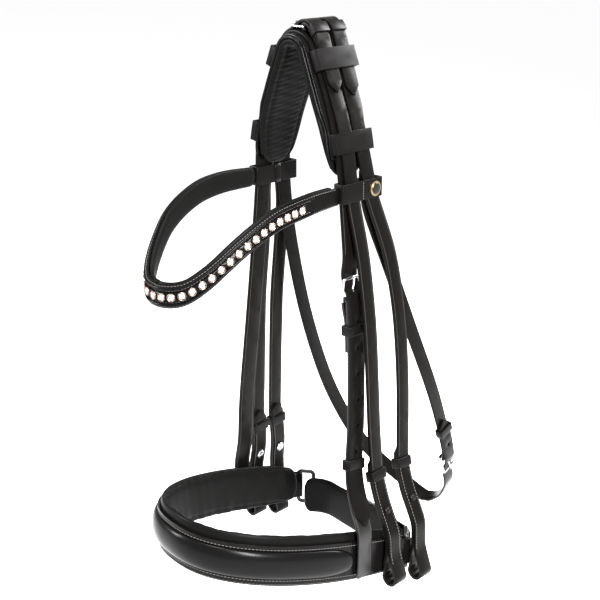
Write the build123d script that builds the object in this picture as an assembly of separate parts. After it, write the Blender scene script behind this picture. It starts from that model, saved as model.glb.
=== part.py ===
from build123d import *
import math
import os

# Bridle, millimetres.  +X is the horse's left (near side), -Y its face, +Z up.
# The origin is the axis of the peg that the crown hangs on.
os.makedirs("parts", exist_ok=True)

# ---------------------------------------------------------------- driving dimensions
PEG_R = 9.0          # radius of the crown's inner arch
ARCH = 65.0          # degrees each side of the top that the arch covers
ARCH_Z = 12.0        # height of the arch's centre while modelling; save() moves it to 0
LINING_T = 6.0       # crown padding
CROWN_T = 2.5        # crown leather
NOSE_STRAP_T = 2.2   # noseband headstrap
CHEEK_T = 2.4        # cheek straps
KEEPER_T = 1.5       # keepers and loops
GAP = 0.25           # between neighbouring layers
NOSE_STRAP_W = 18.0
CHEEK_W = 15.0
THROAT_W = 14.0
FRAME_R = 1.3        # wire of the strap buckles
PRONG_R = 1.0
TILT = 0.224         # the noseband drops this much per millimetre towards the back

D_CROWN = LINING_T + GAP + CROWN_T / 2
D_NOSE = D_CROWN + CROWN_T / 2 + GAP + NOSE_STRAP_T / 2
D_CHEEK = D_NOSE + NOSE_STRAP_T / 2 + GAP + CHEEK_T / 2
D_BILLET = D_CHEEK + CHEEK_T + GAP


def smooth(points, t):
    """Cubic through the (t, value) points, level beyond both ends."""
    pts = sorted(points)
    if t <= pts[0][0]:
        return pts[0][1]
    if t >= pts[-1][0]:
        return pts[-1][1]
    slopes = []
    for i in range(len(pts)):
        a, b = pts[max(i - 1, 0)], pts[min(i + 1, len(pts) - 1)]
        slopes.append((b[1] - a[1]) / (b[0] - a[0]))
    for i in range(len(pts) - 1):
        (t0, v0), (t1, v1) = pts[i], pts[i + 1]
        if t <= t1:
            h = t1 - t0
            u = (t - t0) / h
            return ((2 * u**3 - 3 * u**2 + 1) * v0 + (u**3 - 2 * u**2 + u) * h * slopes[i]
                    + (3 * u**2 - 2 * u**3) * v1 + (u**3 - u**2) * h * slopes[i + 1])


# Half width of the inside of the headpiece at height z, below the arch.
LEG = [(-470, 55), (-373, 50), (-310, 48), (-220, 46), (-150, 43), (-94, 39.5), (-48, 32),
       (-20, 22.3), (15.8, 8.16)]


def base(z, side=1):
    """Point and outward normal of the inside of one leg at height z."""
    x = smooth(LEG, z)
    dx = (smooth(LEG, z + 1) - smooth(LEG, z - 1)) / 2
    if z > 14.5:
        dx = -math.tan(math.radians(90 - ARCH))
    n = math.hypot(1, dx)
    return (side * x, z), (side / n, -dx / n)


def on_leg(z, d, side=1):
    (x, zz), (nx, nz) = base(z, side)
    return (x + nx * d, zz + nz * d)


def on_arch(angle, d):
    """Point on the arch, angle in degrees from the top, positive to the near side."""
    a = math.radians(angle)
    return ((PEG_R + d) * math.sin(a), ARCH_Z + (PEG_R + d) * math.cos(a))


def band(path, thick, arcs=()):
    """Flat closed outline of a strap seen on edge, as 2-D point pairs turned to a face later.

    path is a list of runs: each a list of points, or ("arc", centre, radius, a0, a1).
    """
    runs = []
    for run in path:
        if run[0] == "arc":
            _, (cx, cz), r, a0, a1 = run
            runs.append(("arc", (cx, cz), r, a0, a1))
        else:
            runs.append(("run", run))
    ends = []
    for run in runs:
        if run[0] == "arc":
            _, (cx, cz), r, a0, a1 = run
            s = 1 if a1 > a0 else -1
            ends.append([((-s * math.sin(math.radians(a)), s * math.cos(math.radians(a))))
                         for a in (a0, a1)])
        else:
            p = run[1]
            d = []
            for a, b in ((p[0], p[1]), (p[-2], p[-1])):
                n = math.hypot(b[0] - a[0], b[1] - a[1])
                d.append(((b[0] - a[0]) / n, (b[1] - a[1]) / n))
            ends.append(d)
    for i in range(len(runs) - 1):
        if runs[i][0] == "arc":
            ends[i + 1][0] = ends[i][1]
        elif runs[i + 1][0] == "arc":
            ends[i][1] = ends[i + 1][0]
        else:
            p, q = ends[i][1], ends[i + 1][0]
            n = math.hypot(p[0] + q[0], p[1] + q[1])
            ends[i][1] = ends[i + 1][0] = ((p[0] + q[0]) / n, (p[1] + q[1]) / n)
    sides = []
    for off in (thick / 2, -thick / 2):
        edges = []
        for run, (d0, d1) in zip(runs, ends):
            if run[0] == "arc":
                _, (cx, cz), r, a0, a1 = run
                rr = r - off if a1 > a0 else r + off
                pts = [(cx + rr * math.cos(math.radians(a)), cz + rr * math.sin(math.radians(a)))
                       for a in (a0, (a0 + a1) / 2, a1)]
                edges.append(("arc", pts))
            else:
                p = run[1]
                out = []
                for i in range(len(p)):
                    if i == 0:
                        dx, dz = d0
                    elif i == len(p) - 1:
                        dx, dz = d1
                    else:
                        ax, az = p[i][0] - p[i - 1][0], p[i][1] - p[i - 1][1]
                        bx, bz = p[i + 1][0] - p[i][0], p[i + 1][1] - p[i][1]
                        na, nb = math.hypot(ax, az), math.hypot(bx, bz)
                        dx, dz = ax / na**2 + bx / nb**2, az / na**2 + bz / nb**2
                        n = math.hypot(dx, dz)
                        dx, dz = dx / n, dz / n
                    out.append((p[i][0] - dz * off, p[i][1] + dx * off))
                edges.append(("spl", out, d0, d1))
        sides.append(edges)
    return sides


def outline_face(sides, put):
    """Face from the two sides of a band; put maps a 2-D point to 3-D."""
    edges = []
    for side in sides:
        for e in side:
            if e[0] == "arc":
                edges.append(Edge.make_three_point_arc(*[put(*p) for p in e[1]]))
            else:
                t = [put(*e[2]) - put(0, 0), put(*e[3]) - put(0, 0)]
                edges.append(Edge.make_spline([put(*p) for p in e[1]], tangents=t))
    for k in (0, -1):
        a = sides[0][k][1][0 if k == 0 else -1]
        b = sides[1][k][1][0 if k == 0 else -1]
        edges.append(Edge.make_line(put(*a), put(*b)))
    return Face(Wire(edges))


def front_solid(path, thick, y0=-260, y1=260):
    """A strap seen on edge from the front, drawn out along Y."""
    put = lambda x, z: Vector(x, y0, z)
    return extrude(outline_face(band(path, thick), put), y1 - y0, Vector(0, 1, 0))


def plan_solid(path, thick, z0=-520, z1=0):
    """A band seen on edge from above, drawn out along Z."""
    put = lambda x, y: Vector(x, y, z0)
    return extrude(outline_face(band(path, thick), put), z1 - z0, Vector(0, 0, 1))


def yz_prism(points, x0, x1):
    face = Face(Wire([Edge.make_line(Vector(x0, *points[i - 1]), Vector(x0, *points[i]))
                      for i in range(len(points))]))
    return extrude(face, x1 - x0, Vector(1, 0, 0))


def side_ribbon(centre, w, z_low, z_top, x0, x1, low_tip=0, top_tip=0):
    """Side view of a strap: centre is a list of (z, y); tips are the length of a pointed end."""
    n = max(4, int(abs(z_top - z_low) / 16))
    zs = [z_low + low_tip + (z_top - top_tip - z_low - low_tip) * i / n for i in range(n + 1)]

    def edge(sign):
        out = []
        for z in zs:
            y = smooth(centre, z)
            dy = (smooth(centre, z + 1) - smooth(centre, z - 1)) / 2
            k = math.hypot(1, dy)
            out.append((y + sign * w / 2 / k, z - sign * w / 2 * dy / k))
        return out
    right, left = edge(1), edge(-1)
    p = lambda q: Vector(x0, q[0], q[1])
    edges = [Edge.make_spline([p(q) for q in right]), Edge.make_spline([p(q) for q in left])]
    for tip, r, l, z in ((low_tip, right[0], left[0], z_low), (top_tip, right[-1], left[-1], z_top)):
        if tip:
            top = (smooth(centre, z), z)
            edges += [Edge.make_line(p(r), p(top)), Edge.make_line(p(top), p(l))]
        else:
            edges.append(Edge.make_line(p(r), p(l)))
    return extrude(Face(Wire(edges)), x1 - x0, Vector(1, 0, 0))


def rod(a, b, r):
    a, b = Vector(*a), Vector(*b)
    return Solid.make_cylinder(r, (b - a).length, Plane(a, z_dir=(b - a).normalized()))


def frame_ring(plane, w, h, r, corner=3.0):
    """Closed rounded-rectangle ring of round wire, w by h between wire centres."""
    with BuildSketch(plane) as sk:
        RectangleRounded(w, h, corner)
    wire = sk.sketch.faces()[0].outer_wire()
    with BuildSketch(Plane(wire @ 0, z_dir=wire % 0)) as sec:
        Circle(r)
    return sweep(sec.sketch, path=wire)


def one(shape):
    s = shape.solids()
    return max(s, key=lambda q: q.volume)


NOSE_YAW = -8.0      # the noseband hangs turned this much about a vertical axis
NOSE_YAW_AT = (0.0, -30.0, 0.0)
TURNED = ("noseband_outer", "noseband_lining", "noseband_bolster", "chin_pad")


# The throatlash is modelled hanging straight down from its pivot, then swung back.
THROAT_PIVOT = (0.0, 14.0, -85.0)
THROAT_BACK = 25.0


def save(name, shape):
    """Write one node: noseband turned, throatlash swung, peg's axis moved to the origin."""
    if name.startswith("throat"):
        shape = Pos(*THROAT_PIVOT) * Rot(X=THROAT_BACK) * shape
    if name in TURNED or name.startswith("crank"):
        x, y, z = NOSE_YAW_AT
        shape = Pos(x, y, z) * Rot(Z=NOSE_YAW) * Pos(-x, -y, -z) * shape
    shape = Pos(0, 0, -ARCH_Z) * shape
    solids = shape.solids()
    out = solids[0] if len(solids) == 1 else Compound(children=[Solid(s.wrapped) for s in solids])
    export_step(out, f"parts/{name}.step")


# ------------------------------------------------------------ strap paths, side view (z, y)
NOSE_Y = {1: [(60, -13), (-28, -13), (-30, -13), (-32, -13), (-48, -13), (-96, -10), (-150, -8),
              (-220, -5), (-300, -8), (-343, -15), (-392, -25), (-440, -26)],
          -1: [(60, -13), (-28, -13), (-30, -13), (-32, -13), (-48, -13), (-96, -11), (-150, -13),
               (-220, -17), (-315, -20), (-360, -16), (-395, -10), (-440, -8.5)]}
FRONT_Y = {1: [(60, -10.6), (10, -10.6), (-48, -9.5), (-96, -7.5), (-153, 0), (-211, 3), (-300, 4.5),
               (-364, 5), (-470, 4)],
           -1: [(60, -10.6), (10, -10.6), (-48, -9.5), (-96, -7.5), (-150, -2), (-220, -1), (-333, 2.5),
                (-389, 8), (-470, 14)]}
REAR_Y = {1: [(60, 9.4), (10, 9.4), (-48, 8.0), (-96, 15), (-108, 18.5), (-159, 35), (-221, 43),
              (-298, 45), (-363, 40), (-475, 37)],
          -1: [(60, 9.4), (10, 9.4), (-48, 8.0), (-96, 14), (-131, 20), (-231, 21.5), (-327, 25),
               (-400, 34), (-475, 42)]}
CHEEK_X = [(-100, 52.2), (-150, 58.5), (-190, 63), (-220, 66), (-310, 71.5), (-330, 73.4),
           (-350, 75.6), (-366, 77.9), (-378, 80.8), (-392, 85.5), (-405, 89), (-440, 90.5), (-470, 90.5)]
CHEEK_OUT = {("front", 1): 8.35, ("rear", 1): 10.6, ("front", -1): -3.0, ("rear", -1): -7.2}
NOSE_X = {1: [(-100, 48.9), (-150, 52), (-220, 55), (-315, 60.5), (-350, 66), (-370, 75.6),
              (-386, 85.2), (-396, 88.6), (-440, 89)],
          -1: [(-100, 48.9), (-150, 52), (-220, 56.5), (-315, 65.5), (-350, 70.5), (-370, 76.5),
               (-386, 82.5), (-396, 84.6), (-440, 84.9)]}


def leg_points(profile, d_top, z_from, z_to, side, steps):
    """Centre line of a strap on one leg: crown offset above -48, its own half width below."""
    table = list(profile)
    for z in (-76, -62, -48, -30, -12, 4):
        q = on_leg(z, d_top, 1)
        table.append((q[1], q[0]))
    top = on_leg(15.8, d_top, 1)
    table.append((top[1], top[0]))
    out = []
    for i in range(steps + 1):
        z = z_from + (z_to - z_from) * i / steps
        out.append((side * smooth(table, z), z))
    return out


# ------------------------------------------------------------ crown
def crown_run(d, z_end):
    down = [z for z in (6, -6, -20, -34, -48, -62) if z > z_end + 6] + [z_end]
    far = [on_leg(z, d, -1) for z in reversed(down)]
    near = [on_leg(z, d, 1) for z in down]
    return far, near


def crown_layer(d, thick, z_end, y0, y1):
    far, near = crown_run(d, z_end)
    a = math.radians(ARCH)
    r = PEG_R + d
    path = [far + [(-r * math.sin(a), ARCH_Z + r * math.cos(a))],
            ("arc", (0, ARCH_Z), r, 90 + ARCH, 90 - ARCH),
            [(r * math.sin(a), ARCH_Z + r * math.cos(a))] + near]
    return front_solid(path, thick, y0, y1)


CROWN_Y0, CROWN_Y1 = -27.0, 23.0
lining = crown_layer(LINING_T / 2, LINING_T, -82, CROWN_Y0 - 1.5, CROWN_Y1 + 1.5)
pad_side = [(CROWN_Y0 - 1.5, 40), (CROWN_Y1 + 1.5, 40), (CROWN_Y1 + 1.5, -30),
            (CROWN_Y1 - 2, -62), (CROWN_Y1 - 8, -86), (CROWN_Y0 + 9, -86), (CROWN_Y0 + 2, -62),
            (CROWN_Y0 - 1.5, -30)]
lining = one(lining & yz_prism(pad_side, -80, 80))
save("crown_lining", lining)
outer = crown_layer(D_CROWN, CROWN_T, -84.0, CROWN_Y0, CROWN_Y1)
out_side = [(CROWN_Y0, 40), (CROWN_Y1, 40), (CROWN_Y1, -30), (CROWN_Y1 - 2, -44),
            (CROWN_Y1 - 2, -68), (21, -78), (7, -78), (5, -70), (-10, -70),
            (CROWN_Y0 + 2.5, -68), (CROWN_Y0 + 2.5, -44), (CROWN_Y0, -30)]
outer = one(outer & yz_prism(out_side, -80, 80))
save("crown_outer", outer)


# ------------------------------------------------------------ buckles
def buckle(name, heel, toe, out, width, wire, prong_r, prong_rest, hole_rods):
    """Frame between heel and toe bars (3-D points) and a prong that turns on the heel bar."""
    heel, toe, out = Vector(*heel), Vector(*toe), Vector(*out).normalized()
    u = (toe - heel).normalized()
    side = out.cross(u).normalized()
    length = (toe - heel).length
    mid = (heel + toe) * 0.5
    plane = Plane(mid, x_dir=side, z_dir=u.cross(side) * -1)
    ring = frame_ring(plane, width, length, wire, corner=1.5 * wire)
    save(f"{name}_frame", ring)
    rest = Vector(*prong_rest)
    eye_r = wire + 0.08 + 1.1
    eye = Solid.make_cylinder(eye_r, 2.4, Plane(heel - side * 1.2, z_dir=side))
    tip = rest + (rest - heel).normalized() * 1.6
    start = heel + (rest - heel).normalized() * (wire + 0.6)
    shank = rod(start, tip, prong_r)
    prong = one((eye + shank) - Solid.make_cylinder(wire + 0.08, 6, Plane(heel - side * 3, z_dir=side)))
    save(f"{name}_prong", prong)
    # room that the prong needs where it passes through leather, over its whole swing
    cut = None
    for deg in hole_rods:
        c, s = math.cos(math.radians(deg)), math.sin(math.radians(deg))
        v = rest - heel
        k = side
        w = v * c + k.cross(v) * s + k * (k.dot(v)) * (1 - c)
        r = rod(heel, heel + w * 1.25, prong_r + 0.35)
        cut = r if cut is None else cut + r
    return cut + Solid.make_cylinder(eye_r + 0.3, 3.2, Plane(heel - side * 1.6, z_dir=side))


# ------------------------------------------------------------ noseband headstrap and hanger
HANG_Z = -190.0
HANG_TOE_Z = -170.0


def nose_x(z):
    return leg_points(NOSE_X[1], D_NOSE, z, z - 1, 1, 1)[0][0]


r_hang = FRAME_R + 0.15 + NOSE_STRAP_T / 2
hang_y = smooth(NOSE_Y[1], HANG_Z)
hang_heel = (nose_x(HANG_Z) - r_hang, hang_y, HANG_Z)
hang_toe = (nose_x(HANG_TOE_Z) - 0.1, hang_y, HANG_TOE_Z)
hang_rest = (hang_toe[0] + FRAME_R + PRONG_R + 0.05, hang_y, HANG_TOE_Z)
hang_cut = buckle("hanger_buckle", hang_heel, hang_toe, (1, 0, 0), NOSE_STRAP_W + 4.2, FRAME_R,
                  PRONG_R, hang_rest, (0, -5, -10))

far = leg_points(NOSE_X[-1], D_NOSE, -437, 8, -1, 27)
r = PEG_R + D_NOSE
a = math.radians(ARCH)
near = leg_points(NOSE_X[1], D_NOSE, 8, -148, 1, 10)
LIFT = [(-440, 2.6), (-204, 2.6), (-190, 2.6), (-186, 2.2), (-176, -1.5), (-170, -2.85),
        (-164, -2.7), (-152, 0)]


def billet_x(z):
    slope = (nose_x(z + 2) - nose_x(z - 2)) / 4
    return nose_x(z) + smooth(LIFT, z) * math.hypot(1, slope)


low = [(billet_x(z), z) for z in [-155, -161, -166, -170, -174, -178, -182, -186, -191]
       + [-198 - 10.0 * i for i in range(0, 20)]]
path = [far + [(-r * math.sin(a), ARCH_Z + r * math.cos(a))],
        ("arc", (0, ARCH_Z), r, 90 + ARCH, 90 - ARCH),
        [(r * math.sin(a), ARCH_Z + r * math.cos(a))] + near + low]
s = front_solid(path, NOSE_STRAP_T, -60, 30)
strap = one(s & (side_ribbon(NOSE_Y[-1], NOSE_STRAP_W, -436, -30, -120, 0)
                 + side_ribbon(NOSE_Y[1], NOSE_STRAP_W, -387, -30, 0, 120, low_tip=9)
                 + Pos(0, -13, 15) * Box(120, NOSE_STRAP_W, 90)))
for i in range(1, 7):
    z = -186 - 23.5 * i
    y = smooth(NOSE_Y[1], z)
    strap -= rod((nose_x(z), y, z), (nose_x(z) + 6, y, z), 2.1)
save("noseband_headstrap", one(strap - hang_cut))

outer_run = leg_points(NOSE_X[1], D_NOSE, -436, HANG_Z, 1, 25)
TAIL = [(-238, -2.5), (-215, -2.5), (-207, -2.9), (-198, -4.5), (-190, -2 * r_hang)]
tail = [(nose_x(z) + smooth(TAIL, z), z)
        for z in (-190, -194, -198, -203, -208, -214, -220, -228, -236)]
path = [outer_run, ("arc", (hang_heel[0], HANG_Z), r_hang, 0, 180), tail]
s = front_solid(path, NOSE_STRAP_T, -60, 30)
s = s & side_ribbon(NOSE_Y[1], NOSE_STRAP_W - 1, -435, -150, 30, 120)
save("noseband_hanger", one(s - hang_cut))


def frame_at(z, xs, ys, side):
    """Unit vector down along a strap whose centre is xs(z), ys(z)."""
    v = Vector(side * (xs(z - 4) - xs(z + 4)), ys(z - 4) - ys(z + 4), -8)
    return v.normalized()


def loop_keeper(name, z, xs, ys, side, w, h, tall, wall=KEEPER_T):
    """Closed loop around a stack centred on xs(z), ys(z)."""
    t = frame_at(z, xs, ys, side)
    n = Vector(side, 0, 0)
    across = t.cross(n).normalized()
    plane = Plane(Vector(side * xs(z), ys(z), z), x_dir=across, z_dir=t)
    with BuildSketch(plane) as sk:
        RectangleRounded(w + 2 * wall, h + 2 * wall, 1.2)
        Rectangle(w, h, mode=Mode.SUBTRACT)
    ring = extrude(sk.sketch, tall / 2, both=True)
    save(name, ring)


nose_y = lambda z: smooth(NOSE_Y[1], z)
loop_keeper("hanger_keeper_fixed", -216, nose_x, nose_y, 1, NOSE_STRAP_W + 0.8, 8.2, 9)
loop_keeper("hanger_keeper_sliding", -338, lambda z: nose_x(z) + 1.3, nose_y, 1,
            NOSE_STRAP_W + 0.8, 5.8, 9)

# ------------------------------------------------------------ cheek straps
POLL_EYE = 23.9      # radius from the peg's axis to the poll buckles' bars
POLL_WIRE = 1.0
EYE_R = POLL_WIRE + 0.15 + CHEEK_T / 2
POLL_DEG = 17.0
LOOP_R = 5.6         # inside radius of the loop that holds a bit ring
LOOP_Z = {("front", 1): -444.0, ("rear", 1): -451.0, ("front", -1): -449.0, ("rear", -1): -456.0}
TIP_Z = -335.0
STUD_Z = -383.0
FOLD_GAP = 0.45      # between a cheek strap and its upturned end


def cheek_x(z, key):
    out = smooth([(-405, CHEEK_OUT[key]), (-350, 0)], z)
    return leg_points(CHEEK_X, D_CHEEK, z, z - 1, 1, 1)[0][0] + out


def inner_x(z, key):
    """Half width of the upturned end, which lies against the inside of the leg."""
    slope = (cheek_x(z + 2, key) - cheek_x(z - 2, key)) / 4
    return cheek_x(z, key) - (CHEEK_T + FOLD_GAP) * math.hypot(1, slope)


def loop_path(key):
    """From the upturned tip inside, round the bit loop, up the outside to the top of the leg."""
    zc = LOOP_Z[key]
    rc = LOOP_R + CHEEK_T / 2
    xc = cheek_x(zc + 30, key) + 1.6
    cc, ss = math.cos(math.radians(20)), math.sin(math.radians(20))
    mid = cheek_x(zc + 30, key) - (CHEEK_T + FOLD_GAP) / 2
    neck = [(mid + 0.25, 2.0, zc + 22), (mid + 1.2, 4.3, zc + 12.5)]
    last = int((TIP_Z - zc - 30) / 6)
    zs = [TIP_Z - 6.0 * i for i in range(last + 1)]
    inner = [(inner_x(z, key), z) for z in zs]
    inner += [(m - g, z) for m, g, z in neck] + [(xc - rc * cc, zc + rc * ss)]
    outer = [(xc + rc * cc, zc + rc * ss)] + [(m + g, z) for m, g, z in reversed(neck)]
    outer += [(cheek_x(z, key), z) for z in zs[:0:-1]]
    outer += [(cheek_x(z, key), z) for z in range(int(TIP_Z), -60, 25)] + [(cheek_x(-48, key), -48)]
    return inner, (xc, zc), rc, outer


def tip_wedges(y, z, w, x0, x1, tip=8.0):
    e = w / 2 + 1.5
    return (yz_prism([(y + 0.6, z + 1), (y + e, z + 1), (y + e, z - tip)], x0, x1)
            + yz_prism([(y - 0.6, z + 1), (y - e, z + 1), (y - e, z - tip)], x0, x1))


def stud(name, side, ys, key):
    x = cheek_x(STUD_Z, key)
    y = ys(STUD_Z)
    t = Vector(side * (cheek_x(STUD_Z - 4, key) - cheek_x(STUD_Z + 4, key)), 0, -8).normalized()
    n = Vector(side * -t.Z, 0, t.X * side).normalized()
    if n.X * side < 0:
        n = n * -1
    p = Vector(side * x, y, STUD_Z)
    out = p + n * (CHEEK_T / 2)
    inn = p - n * (CHEEK_T * 1.5 + FOLD_GAP)
    post = rod(inn - n * 1.0, out + n * 0.6, 1.6)
    head = Solid.make_cylinder(3.4, 1.2, Plane(out + n * 0.05, z_dir=n))
    hook = Solid.make_cylinder(4.2, 1.8, Plane(inn - n * 0.05, z_dir=n * -1))
    hook -= Solid.make_cylinder(1.0, 1.0, Plane(inn - n * 1.0, z_dir=n * -1))
    save(name, one(post + head + hook))
    return rod(inn - n * 3, out + n * 3, 1.7)


poll_heel = {}
for which, YS in (("front", FRONT_Y), ("rear", REAR_Y)):
    kn, ko = (which, 1), (which, -1)
    inner, centre, rc, outer = loop_path(kn)
    pa = math.radians(POLL_DEG)
    eye = (POLL_EYE * math.sin(pa), ARCH_Z + POLL_EYE * math.cos(pa))
    y_top = smooth(YS[1], 30)
    heel = (eye[0], y_top, eye[1])
    toe = (-24.5 * math.sin(pa), y_top, ARCH_Z + 24.5 * math.cos(pa))
    rest = (toe[0], y_top, toe[2] + POLL_WIRE + 0.9 + 0.05)
    cut = buckle(f"poll_buckle_{which}", heel, toe, (0, 0, 1), CHEEK_W + 2.6, POLL_WIRE, 0.9, rest,
                 (0, -5, -10))
    # near strap: bit loop, leg, arch, eye round the buckle bar
    arch = [on_arch(deg, d) for deg, d in ((58, 13.3), (48, 14.3), (38, 15.6), (27, 16.9))]
    top = POLL_EYE + EYE_R
    up = outer + [on_leg(z, D_CHEEK) for z in (-36, -24, -12, 0)] + [on_leg(11, D_CHEEK + 0.1)]
    up += arch + [(top * math.sin(pa), ARCH_Z + top * math.cos(pa))]
    start = 90 - POLL_DEG
    path = [inner, ("arc", centre, rc, 160, 380), up, ("arc", eye, EYE_R, start, start + 245)]
    s = front_solid(path, CHEEK_T, -60, 110)
    ys = lambda z: smooth(YS[1], z)
    s = s & side_ribbon(YS[1], CHEEK_W, -475, 60, 0, 130)
    hole = stud(f"stud_{which}_near", 1, ys, kn)
    s = s - hole - cut - tip_wedges(ys(TIP_Z), TIP_Z, CHEEK_W,
                              cheek_x(TIP_Z, kn) - 6, cheek_x(TIP_Z, kn) - 1.45)
    save(f"cheek_{which}_near", one(s))
    # off strap: bit loop, leg, over the poll, under the buckle's toe, down the near side
    near_centre = centre
    inner, centre, rc, outer = loop_path(ko)
    mir = lambda pts: [(-x, z) for x, z in pts]
    run = mir(outer) + mir([on_leg(z, D_CHEEK) for z in (-36, -24, -12, 0, 11)])
    run += [on_arch(deg, D_CHEEK) for deg in (-58, -48, -38, -28)]
    run += [on_arch(deg, d) for deg, d in ((-17, 12.95), (-8, 14.6), (0, 16.6), (8, 18.7), (17, 20.25),
                                           (27, 19.95), (38, 18.65), (48, 17.3), (58, 16.25))]
    run += [on_leg(z, D_BILLET + dd)
            for z, dd in ((11, 0.35), (0, 0.2), (-12, 0.1), (-24, 0.1), (-40, 0.1))]
    path = [mir(inner), ("arc", (-centre[0], centre[1]), rc, 20, -200), run]
    s = front_solid(path, CHEEK_T, -60, 110)
    ys = lambda z: smooth(YS[-1], z)
    tip_z = {"front": -16.0, "rear": -20.0}[which]
    far_part = s & side_ribbon(YS[-1], CHEEK_W, -475, 60, -130, 0)
    near_part = s & side_ribbon(YS[1], CHEEK_W, tip_z, 60, 0, 130, low_tip=8)
    hole = stud(f"stud_{which}_off", -1, ys, ko)
    s = far_part + near_part - hole - cut
    s = s - tip_wedges(ys(TIP_Z), TIP_Z, CHEEK_W, 
                       -cheek_x(TIP_Z, ko) + 1.45, -cheek_x(TIP_Z, ko) + 6)
    save(f"cheek_{which}_off", one(s))
    for side, word in ((1, "near"), (-1, "off")):
        yy = lambda z: smooth(YS[side], z)
        xs = lambda z: cheek_x(z, (which, side)) - (CHEEK_T + FOLD_GAP) / 2
        loop_keeper(f"bit_keeper_{which}_{word}", -352, xs, yy,
                    side, CHEEK_W + 0.8, 2 * CHEEK_T + FOLD_GAP + 0.8, 9)


# ------------------------------------------------------------ keepers on the crown
def crown_keeper(name, side, z_hi, z_lo, d_in, y0=-24.2, y1=20.8, foot=1.2):
    """Strip standing on the crown leather by its two ends, over all the straps."""
    d0 = D_CROWN + CROWN_T / 2 + 0.12
    n = 4
    zs = [z_hi + (z_lo - z_hi) * i / n for i in range(n + 1)]

    def leg_band(da, db, extra=0.0):
        ctr = [on_leg(z, (da + db) / 2, side) for z in zs]
        if extra:
            mid = (da + db) / 2
            ctr = [on_leg(z_hi + extra, mid, side)] + ctr + [on_leg(z_lo - extra, mid, side)]
        return front_solid([ctr], db - da, y0, y1)
    whole = leg_band(d0, d_in + KEEPER_T)
    inside = Pos(0, (y0 + y1) / 2, -20) * Box(300, y1 - y0 - 2 * foot, 200)
    room = leg_band(d0 - 1, d_in, extra=3.0) & inside
    save(name, one(whole - room))


d_top_near = D_BILLET + CHEEK_T / 2 + 0.9
d_mid = D_CHEEK + CHEEK_T / 2 + 0.5
crown_keeper("crown_keeper_top_near", 1, 12.5, -3.5, d_top_near)
crown_keeper("crown_keeper_top_off", -1, 12.5, -3.5, d_mid + 0.8)
crown_keeper("crown_keeper_mid_near", 1, -50.0, -66.0, d_mid)
crown_keeper("crown_keeper_mid_off", -1, -50.0, -66.0, d_mid)


def poll_keeper(name, yc):
    """Small fixed keeper stitched to the edges of a near cheek strap, over the billet."""
    a0, a1 = 31.0, 47.0
    k_in = [on_arch(a, d) for a, d in ((a0, 16.4 - 1.2), (39, 15.45 - 1.2), (a1, 14.4 - 1.2))]
    k_out = [on_arch(a, d + 1.8 + KEEPER_T) for a, d in ((a0, 19.55), (39, 18.5), (a1, 17.45))]

    def slab(inner, outer, y0, y1):
        p = lambda q: Vector(q[0], y0, q[1])
        e = [Edge.make_three_point_arc(*[p(q) for q in inner]),
             Edge.make_three_point_arc(*[p(q) for q in outer]),
             Edge.make_line(p(inner[0]), p(outer[0])), Edge.make_line(p(inner[-1]), p(outer[-1]))]
        return extrude(Face(Wire(e)), y1 - y0, Vector(0, 1, 0))
    w = CHEEK_W / 2 + 0.08
    whole = slab(k_in, k_out, yc - w - 1.0, yc + w + 1.0)
    in2 = [on_arch(a, d - 4) for a, d in ((a0 - 3, 16.4), (39, 15.45), (a1 + 3, 14.4))]
    out2 = [on_arch(a, d) for a, d in ((a0 - 3, 19.55 + 1.9), (39, 18.5 + 1.8), (a1 + 3, 17.45 + 1.7))]
    save(name, one(whole - slab(in2, out2, yc - w, yc + w)))


poll_keeper("poll_keeper_front", smooth(FRONT_Y[1], 30))
poll_keeper("poll_keeper_rear", smooth(REAR_Y[1], 30))


# ------------------------------------------------------------ browband
BROW_A, BROW_B, BROW_Y0, BROW_N = 50.0, 181.0, 6.0, 2.4
BROW_T, BROW_PAD_T = 2.2, 4.5
BROW_Z = {1: [(-176, -157), (-170, -156), (-164, -154), (-156, -149), (-146, -142), (-129, -129),
              (-110, -117), (-87, -106.5), (-53, -100), (-30, -98), (10, -96), (40, -96)],
          -1: [(-176, -157), (-170, -152), (-164, -145), (-151, -131), (-130, -112), (-97, -98),
               (-67, -94), (-30, -95), (10, -96), (40, -96)]}
BROW_H = [(-176, 9.2), (-130, 9.0), (-60, 8.2), (-23, 7.2), (10, 7.2)]
CRYSTALS = 35
CRYSTAL_PITCH = 7.6


def brow_plan(off, y_end=-23.0, steps=30):
    """Half the browband seen from above, from the near loop to the front centre, then mirrored."""
    u = (BROW_Y0 - y_end) / BROW_B
    t_end = math.asin(u ** (BROW_N / 2))
    pts = []
    for i in range(steps + 1):
        t = t_end + (math.pi / 2 - t_end) * i / steps
        x = BROW_A * max(math.cos(t), 0) ** (2 / BROW_N)
        pts.append((x, BROW_Y0 - BROW_B * math.sin(t) ** (2 / BROW_N)))
    full = pts + [(-x, y) for x, y in reversed(pts[:-1])]
    # even spacing along the curve, then offset outward
    length = [0.0]
    for p, q in zip(full, full[1:]):
        length.append(length[-1] + math.hypot(q[0] - p[0], q[1] - p[1]))
    return [walk(full, length, length[-1] * i / 44, off) for i in range(45)], length[-1], full, length


def walk(full, length, s, off):
    """Point at distance s along a polyline, moved off to its right-hand (outer) side."""
    for i in range(len(full) - 1):
        if s <= length[i + 1] or i == len(full) - 2:
            h = length[i + 1] - length[i]
            u = (s - length[i]) / h
            (x0, y0), (x1, y1) = full[i], full[i + 1]
            dx, dy = (x1 - x0) / h, (y1 - y0) / h
            return (x0 + dx * u * h - dy * off, y0 + dy * u * h + dx * off)


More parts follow.
